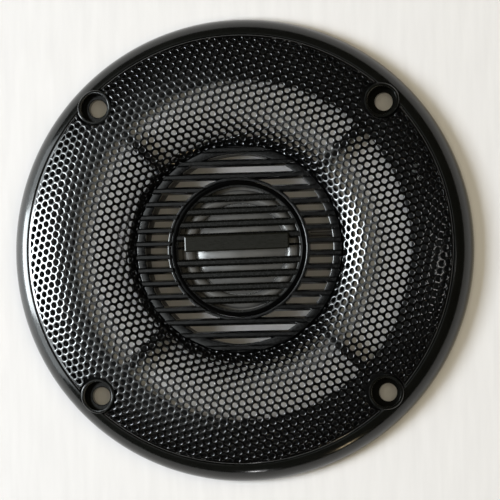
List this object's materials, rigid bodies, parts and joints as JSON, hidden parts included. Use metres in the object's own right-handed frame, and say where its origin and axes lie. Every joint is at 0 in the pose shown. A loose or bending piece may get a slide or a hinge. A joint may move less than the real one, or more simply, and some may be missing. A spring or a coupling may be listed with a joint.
{
  "type": "car tweeter",
  "caption": "Round in-car tweeter unit: screw-down bezel, domed perforated mesh ring, and a louvred centre over a slim dome capsule with a sprung diaphragm.",
  "frame": {"origin": "centre of the flat back plane, where the bezel's skirt lies on the panel", "axes": "+Z out of the front, +X along the slats to the right as seen from the front, +Y up"},
  "size_m": [0.128, 0.128, 0.0145],
  "materials": {
    "front_bezel": "black satin-gloss moulding",
    "rear_frame": "black fine-grained moulding",
    "foam_gasket": "black closed-cell foam",
    "mesh_grille": "semi-gloss black paint on perforated steel",
    "louvre_cover": "glossy black moulding",
    "capsule_housing": "black moulding",
    "capsule_ring": "polished black flat ring",
    "capsule_grille": "glossy black moulding",
    "badge_plate": "satin olive-grey, blank",
    "yoke_cup": "turned steel",
    "magnet": "nickel plated",
    "pole_plate": "turned steel",
    "damping_pad": "grey felt",
    "diaphragm_ring": "black moulding",
    "dome": "smoke-grey formed film",
    "surround": "smoke-grey formed film",
    "coil_former": "thin rolled sheet",
    "coil_winding": "enamelled copper wire",
    "coil_leads": "braided copper tinsel",
    "solder_board": "green laminate with tinned pads",
    "crossover_capacitor": "dipped film capacitor",
    "lead_wire_positive": "grey insulation",
    "lead_wire_negative": "black insulation",
    "terminal_block": "black moulding",
    "terminal_positive": "brass blade",
    "terminal_negative": "brass blade",
    "terminal_rivets": "bright rivets"
  },
  "bodies": {
    "unit": {"front_bezel": "front_bezel", "rear_frame": "rear_frame", "foam_gasket": "foam_gasket", "mesh_grille": "mesh_grille", "louvre_cover": "louvre_cover", "capsule_housing": "capsule_housing", "capsule_ring": "capsule_ring", "capsule_grille": "capsule_grille", "badge_plate": "badge_plate", "yoke_cup": "yoke_cup", "magnet": "magnet", "pole_plate": "pole_plate", "damping_pad": "damping_pad", "diaphragm_ring": "diaphragm_ring", "surround": "surround", "coil_leads": "coil_leads", "solder_board": "solder_board", "crossover_capacitor": "crossover_capacitor", "lead_wire_positive": "lead_wire_positive", "lead_wire_negative": "lead_wire_negative", "terminal_block": "terminal_block", "terminal_positive": "terminal_positive", "terminal_negative": "terminal_negative", "terminal_rivets": "terminal_rivets"},
    "diaphragm": {"dome": "dome", "coil_former": "coil_former", "coil_winding": "coil_winding"}
  },
  "joints": [
    {"name": "diaphragm_travel", "type": "slide", "parent": "unit", "child": "diaphragm", "axis": [0, 0, 1], "range_m": [-0.0004, 0.0004], "stiffness_N_per_m": 2000, "deforming": ["surround", "coil_leads"]}
  ]
}
